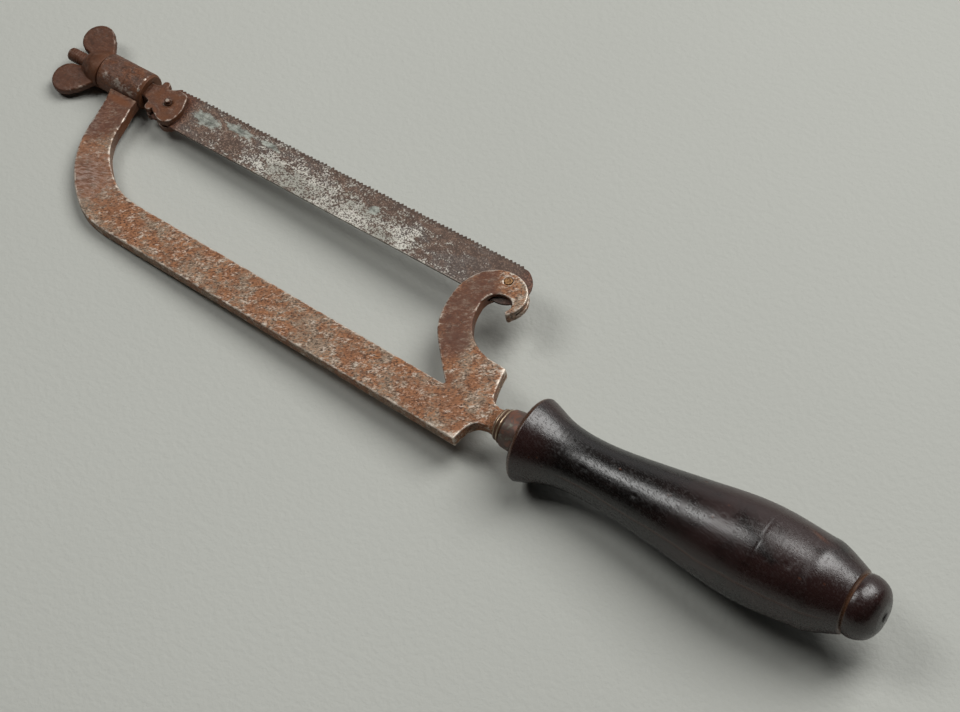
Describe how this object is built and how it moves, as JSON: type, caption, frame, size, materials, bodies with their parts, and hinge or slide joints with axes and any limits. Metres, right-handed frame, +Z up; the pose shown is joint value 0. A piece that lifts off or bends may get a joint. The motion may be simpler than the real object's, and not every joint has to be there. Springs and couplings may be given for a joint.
{
  "type": "metal-cutting bow saw",
  "caption": "Small forged bow saw for metal, with a slotted heel arm and hook, a wing nut that draws the blade tight through a barrel, and a turned wooden handle.",
  "frame": {"origin": "centre of the bounding box at its bottom, on the surface the saw lies on", "axes": "+X from the wing nut at the toe to the handle's pommel, +Y from the back bar to the blade's teeth, +Z up from the surface the saw lies on"},
  "size_m": [0.3672, 0.0762, 0.0373],
  "materials": {
    "forged_iron": "rusted, pitted, worn bright on the arrises",
    "smooth_iron": "dark even rust",
    "blade_steel": "mottled rust over grey steel",
    "rivet_brass": "dull",
    "collar_steel": "worn bright beads",
    "ferrule_iron": "brown, smooth",
    "dark_wood": "dark polished, scratched"
  },
  "bodies": {
    "saw_frame": {"frame": "forged_iron", "tension_barrel": "smooth_iron", "heel_arm": "smooth_iron", "heel_pin": "rivet_brass", "tang_collar": "collar_steel", "ferrule": "ferrule_iron", "handle": "dark_wood"},
    "bolt": {"draw_bolt": "smooth_iron"},
    "nut": {"wing_nut": "smooth_iron"},
    "pin": {"toe_pin": "smooth_iron"},
    "saw_blade": {"blade": "blade_steel"}
  },
  "joints": [
    {"name": "nut_turn", "type": "hinge", "parent": "saw_frame", "child": "nut", "pos_m": [-0.17001, 0.02286, 0.00646], "axis": [-0.9981, 0, -0.061], "range_deg": [0, 1350]},
    {"name": "bolt_draw", "type": "slide", "parent": "saw_frame", "child": "bolt", "axis": [0.9981, 0, 0.061], "range_m": [0, 0.004]},
    {"name": "toe_pin_push", "type": "slide", "parent": "bolt", "child": "pin", "axis": [-0.0606, -0.116, 0.9914], "range_m": [0, 0.0075]},
    {"name": "blade_swing", "type": "hinge", "parent": "saw_frame", "child": "saw_blade", "pos_m": [0.01265, 0.02166, 0.01749], "axis": [0.0606, 0.116, -0.9914], "range_deg": [0, 110]}
  ],
  "couplings": [
    {"joint": "bolt_draw", "follows": "nut_turn", "m_per_rad": 0.00016843}
  ]
}
